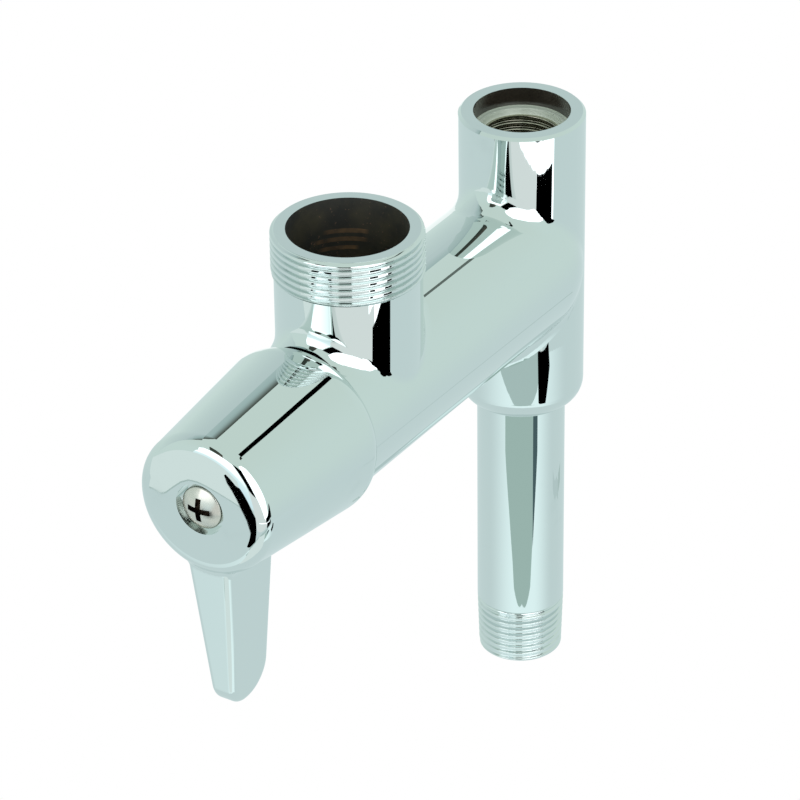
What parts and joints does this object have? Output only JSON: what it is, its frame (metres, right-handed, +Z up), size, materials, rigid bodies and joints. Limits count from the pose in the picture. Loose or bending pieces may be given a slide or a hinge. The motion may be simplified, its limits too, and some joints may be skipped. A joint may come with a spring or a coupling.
{
  "type": "pre-rinse add-on faucet",
  "caption": "Chrome add-on faucet for a pre-rinse riser: a vertical tee on a pipe nipple, a side barrel valve with an upright threaded spout outlet and a quarter-turn lever.",
  "frame": {"origin": "centre of the inlet nipple's lower, threaded end", "axes": "+Z up along the riser, -Y towards the handle's face along the barrel, +X to the right seen from the handle"},
  "size_m": [0.033, 0.1215, 0.1228],
  "materials": {
    "chrome_plate": "bright chromium plate on cast brass",
    "chrome_pipe": "bright chromium plate on brass pipe",
    "chrome_casting": "bright chromium plate on a die casting",
    "screw_steel": "stainless steel",
    "cartridge_brass": "machined brass, unplated",
    "nut_brass": "machined brass, unplated",
    "spindle_brass": "turned brass",
    "washer_steel": "stamped stainless steel",
    "clip_steel": "spring steel",
    "washer_plastic": "acetal",
    "gasket_fibre": "red fibre",
    "ceramic": "lapped alumina ceramic",
    "seal_rubber": "black nitrile rubber"
  },
  "bodies": {
    "faucet_body": {"body": "chrome_plate", "inlet_nipple": "chrome_pipe", "cartridge_housing": "cartridge_brass", "bonnet_nut": "nut_brass", "thrust_washer": "washer_plastic", "bonnet_gasket": "gasket_fibre", "lower_disc": "ceramic", "seat_seal": "seal_rubber", "housing_o_ring": "seal_rubber"},
    "handle_assembly": {"lever_handle": "chrome_casting", "handle_screw": "screw_steel", "spindle": "spindle_brass", "upper_disc": "ceramic", "stop_washer": "washer_steel", "spindle_clip": "clip_steel", "spindle_o_ring_rear": "seal_rubber", "spindle_o_ring_front": "seal_rubber"}
  },
  "joints": [
    {"name": "handle_turn", "type": "hinge", "parent": "faucet_body", "child": "handle_assembly", "pos_m": [0, -0.095, 0.0892], "axis": [0, -1, 0], "range_deg": [0, 90]}
  ]
}
